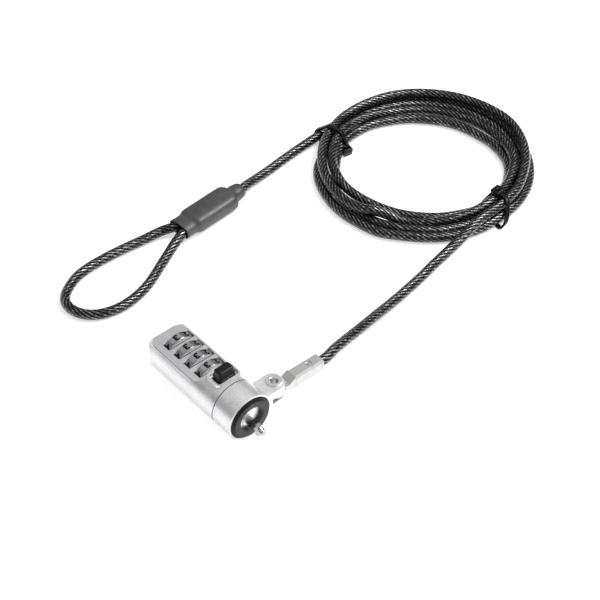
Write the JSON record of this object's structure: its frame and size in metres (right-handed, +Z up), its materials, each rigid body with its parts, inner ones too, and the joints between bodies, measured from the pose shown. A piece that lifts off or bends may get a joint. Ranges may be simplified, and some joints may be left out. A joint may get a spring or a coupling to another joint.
{
  "type": "laptop cable lock",
  "caption": "Combination lock head with a T-bar and push button, swivelling on a collar, with a coiled steel cable that ends in an anchor loop.",
  "frame": {"origin": "under the middle of the lock head without its cable, on the surface that it lies on", "axes": "+X along the lock head's axis towards the T-bar, +Y towards the cable's lug, +Z up out of the dial panel"},
  "size_m": [0.1305, 0.2254, 0.0244],
  "materials": {
    "satin_silver": "fine satin silver on a zinc casting",
    "brushed_plate": "brushed along the lock, dull",
    "dial_chrome": "bright chrome plating",
    "bright_steel": "turned, bright",
    "spring_steel": "tempered, grey",
    "brass": "turned, unpolished",
    "black_rubber": "matt moulded rubber",
    "black_button": "semi-gloss moulded plastic",
    "nickel": "nickel plating",
    "cable_jacket": "smoke-tinted clear jacket over a twisted steel rope",
    "ferrule_alloy": "pressed, dull",
    "black_sleeve": "satin shrink sleeve",
    "black_tie": "nylon, semi-gloss"
  },
  "bodies": {
    "cable": {"end_fitting": "nickel", "cable_lead": "cable_jacket", "cable_coil": "cable_jacket", "cable_tail": "cable_jacket", "cable_loop": "cable_jacket", "loop_ferrule": "ferrule_alloy", "loop_sleeve": "black_sleeve", "tie_left": "black_tie", "tie_right": "black_tie"},
    "collar": {"swivel_collar": "satin_silver", "pivot_rivet": "nickel"},
    "lock_body": {"housing": "satin_silver", "dial_plate": "brushed_plate", "base_cover": "satin_silver", "spindle": "bright_steel", "retaining_ring": "spring_steel", "bumper_ring": "black_rubber", "spindle_pin": "bright_steel", "code_shaft": "bright_steel", "rear_bearing": "satin_silver", "thrust_washer": "bright_steel", "stack_spring": "spring_steel", "detent_spring": "spring_steel", "button_spring": "spring_steel"},
    "dial_1": {"dial_wheel_1": "dial_chrome", "code_sleeve_1": "brass"},
    "dial_2": {"dial_wheel_2": "dial_chrome", "code_sleeve_2": "brass"},
    "dial_3": {"dial_wheel_3": "dial_chrome", "code_sleeve_3": "brass"},
    "dial_4": {"dial_wheel_4": "dial_chrome", "code_sleeve_4": "brass"},
    "button": {"button": "black_button"},
    "t_bar": {"t_bar": "bright_steel"},
    "reset_cam": {"reset_cam": "bright_steel"}
  },
  "joints": [
    {"name": "cable_pivot", "type": "hinge", "parent": "cable", "child": "collar", "pos_m": [0.01715, 0.01135, 0.0105], "axis": [0, 0, 1], "range_deg": [-75, 75]},
    {"name": "head_swivel", "type": "hinge", "parent": "collar", "child": "lock_body", "pos_m": [0.0164, -0.00465, 0.0105], "axis": [1, 0, 0], "continuous": true},
    {"name": "dial_1_turn", "type": "hinge", "parent": "lock_body", "child": "dial_1", "pos_m": [-0.02299, -0.00325, 0.0105], "axis": [1, 0, 0], "continuous": true},
    {"name": "dial_2_turn", "type": "hinge", "parent": "lock_body", "child": "dial_2", "pos_m": [-0.01661, -0.00325, 0.0105], "axis": [1, 0, 0], "continuous": true},
    {"name": "dial_3_turn", "type": "hinge", "parent": "lock_body", "child": "dial_3", "pos_m": [-0.01023, -0.00325, 0.0105], "axis": [1, 0, 0], "continuous": true},
    {"name": "dial_4_turn", "type": "hinge", "parent": "lock_body", "child": "dial_4", "pos_m": [-0.00385, -0.00325, 0.0105], "axis": [1, 0, 0], "continuous": true},
    {"name": "button_press", "type": "slide", "parent": "lock_body", "child": "button", "axis": [0, 0, -1], "range_m": [0, 0.002], "stiffness_N_per_m": 1500, "springref_m": -0.0005, "deforming": ["button_spring"]},
    {"name": "t_bar_turn", "type": "hinge", "parent": "lock_body", "child": "t_bar", "pos_m": [0.02215, -0.00525, 0.0093], "axis": [1, 0, 0], "range_deg": [-90, 0]},
    {"name": "reset_turn", "type": "hinge", "parent": "lock_body", "child": "reset_cam", "pos_m": [-0.0296, -0.00325, 0.0105], "axis": [1, 0, 0], "range_deg": [0, 90]}
  ],
  "couplings": [
    {"joint": "t_bar_turn", "follows": "button_press", "rad_per_m": -785.39}
  ]
}
